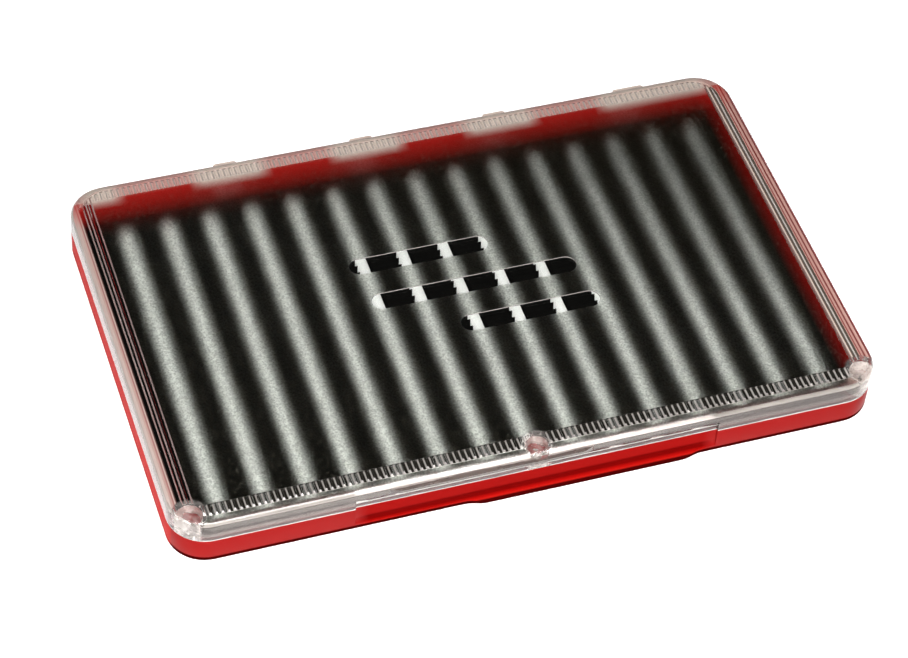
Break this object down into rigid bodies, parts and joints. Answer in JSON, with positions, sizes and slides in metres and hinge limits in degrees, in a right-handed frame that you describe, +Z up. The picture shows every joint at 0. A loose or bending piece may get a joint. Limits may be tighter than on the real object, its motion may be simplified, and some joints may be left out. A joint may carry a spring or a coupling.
{
  "type": "fly box",
  "caption": "Slim pocket case with a hinged clear lid, press catches and a slit-foam insert that holds fishing flies.",
  "frame": {"origin": "middle of the tray's flat underside", "axes": "+X along the box, +Y from the catches to the hinges, +Z up, with the lid closed"},
  "size_m": [0.186, 0.12, 0.0145],
  "materials": {
    "red_shell": "gloss",
    "clear_shell": "gloss",
    "foam_backing": "matte",
    "foam_ribs": "matte",
    "pin_steel": "satin"
  },
  "bodies": {
    "tray": {"base_tray": "red_shell", "foam_sheet": "foam_backing", "foam_rib_01": "foam_ribs", "foam_rib_02": "foam_ribs", "foam_rib_03": "foam_ribs", "foam_rib_04": "foam_ribs", "foam_rib_05": "foam_ribs", "foam_rib_06": "foam_ribs", "foam_rib_07": "foam_ribs", "foam_rib_08": "foam_ribs", "foam_rib_09": "foam_ribs", "foam_rib_10": "foam_ribs", "foam_rib_11": "foam_ribs", "foam_rib_12": "foam_ribs", "foam_rib_13": "foam_ribs", "foam_rib_14": "foam_ribs", "foam_rib_15": "foam_ribs", "foam_rib_16": "foam_ribs", "hinge_pin_1": "pin_steel", "hinge_pin_2": "pin_steel", "hinge_pin_3": "pin_steel", "hinge_pin_4": "pin_steel"},
    "lid": {"lid": "clear_shell"}
  },
  "joints": [
    {"name": "lid_hinge", "type": "hinge", "parent": "tray", "child": "lid", "pos_m": [0, 0.0589, 0.0079], "axis": [-1, 0, 0], "range_deg": [0, 180]}
  ]
}
